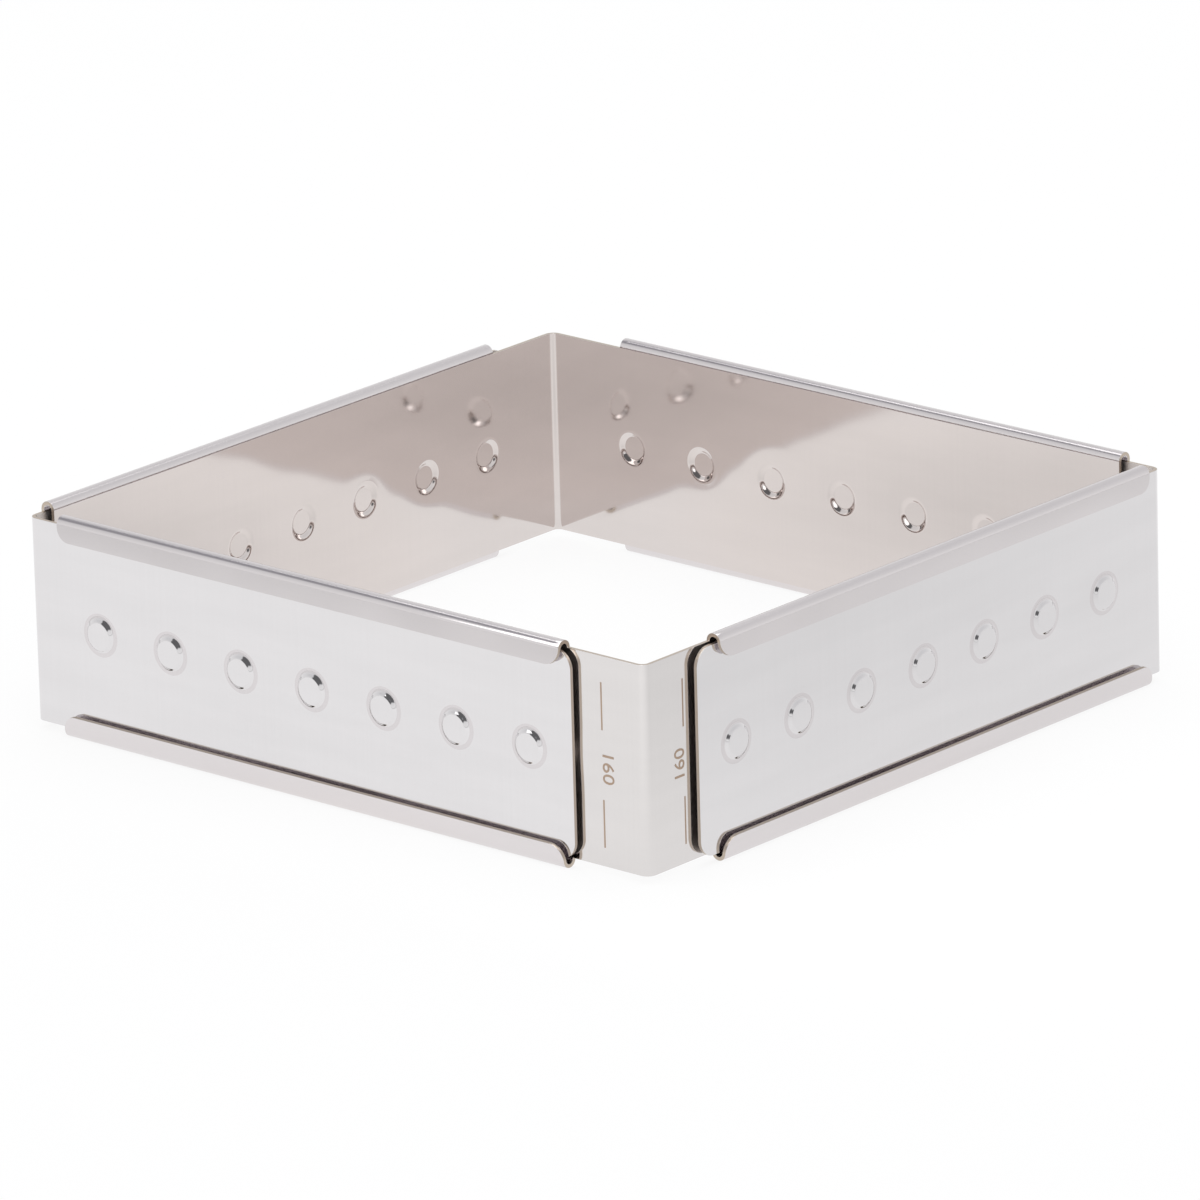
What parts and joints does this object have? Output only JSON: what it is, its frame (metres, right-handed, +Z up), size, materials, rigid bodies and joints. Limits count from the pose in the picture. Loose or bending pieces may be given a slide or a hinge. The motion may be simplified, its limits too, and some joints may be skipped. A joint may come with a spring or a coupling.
{
  "type": "adjustable cake frame",
  "caption": "Bottomless square frame of bent stainless corner plates that slide in rolled rails, setting the size of a cake or pastry sheet.",
  "frame": {"origin": "centre of the frame's footprint, on the surface it stands on", "axes": "+Z up, out of the open top; +X along the front-left side, from the left corner to the front corner; +Y along the front-right side, from the front corner to the right corner"},
  "size_m": [0.1752, 0.1712, 0.049],
  "materials": {
    "rail_plate_steel": "bright stainless sheet with a fine rolling grain",
    "plain_plate_steel": "bright stainless sheet with a fine rolling grain"
  },
  "bodies": {
    "front": {"front_rail_corner": "rail_plate_steel"},
    "left": {"left_slide_corner": "plain_plate_steel"},
    "right": {"right_slide_corner": "plain_plate_steel"},
    "back": {"back_rail_corner": "rail_plate_steel"}
  },
  "joints": [
    {"name": "width_slide", "type": "slide", "parent": "front", "child": "left", "axis": [-1, 0, 0], "range_m": [-0.0067, 0.1133]},
    {"name": "depth_slide", "type": "slide", "parent": "front", "child": "right", "axis": [0, 1, 0], "range_m": [-0.0027, 0.1173]},
    {"name": "back_depth_slide", "type": "slide", "parent": "left", "child": "back", "axis": [0, 1, 0], "range_m": [-0.0027, 0.1173]}
  ],
  "couplings": [
    {"joint": "back_depth_slide", "follows": "depth_slide", "ratio": 1}
  ]
}
